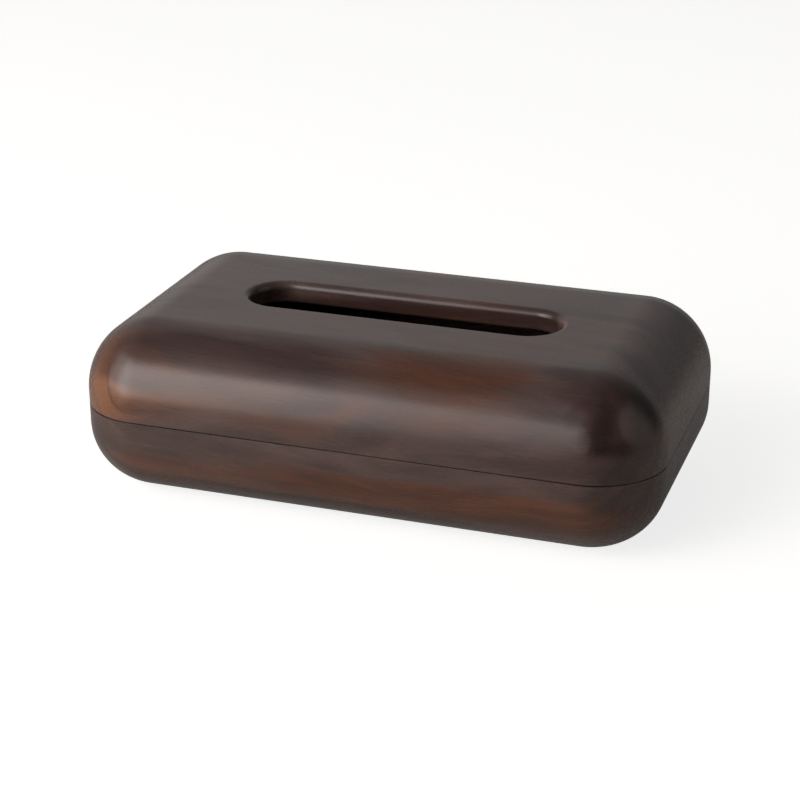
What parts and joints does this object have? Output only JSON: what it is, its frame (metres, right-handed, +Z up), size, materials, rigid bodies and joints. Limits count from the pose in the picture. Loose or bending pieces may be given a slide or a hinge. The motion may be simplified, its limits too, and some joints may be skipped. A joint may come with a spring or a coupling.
{
  "type": "tissue box",
  "caption": "Pebble-shaped wooden tissue box with a long rounded slot in its top; the upper shell lifts straight off a shallow base tray along a fine seam at mid-height.",
  "frame": {"origin": "under the middle of the box, on the plane that its four pads stand on", "axes": "+X along the box's length to the right, +Y to its back, +Z up; the front is the long side that faces -Y"},
  "size_m": [0.265, 0.156, 0.079],
  "materials": {
    "wood": "dark brown hardwood with a satin oiled coat, grain along the length",
    "magnet_plating": "bright plated disc magnet",
    "pad_rubber": "matt dark anti-slip pad"
  },
  "bodies": {
    "base_body": {"base": "wood", "base_magnet_front_left": "magnet_plating", "base_magnet_front_right": "magnet_plating", "base_magnet_back_left": "magnet_plating", "base_magnet_back_right": "magnet_plating", "pad_front_left": "pad_rubber", "pad_front_right": "pad_rubber", "pad_back_left": "pad_rubber", "pad_back_right": "pad_rubber"},
    "cover_body": {"cover": "wood", "cover_magnet_front_left": "magnet_plating", "cover_magnet_front_right": "magnet_plating", "cover_magnet_back_left": "magnet_plating", "cover_magnet_back_right": "magnet_plating"}
  },
  "joints": [
    {"name": "cover_lift", "type": "slide", "parent": "base_body", "child": "cover_body", "axis": [0, 0, 1], "range_m": [0, 0.08]}
  ]
}
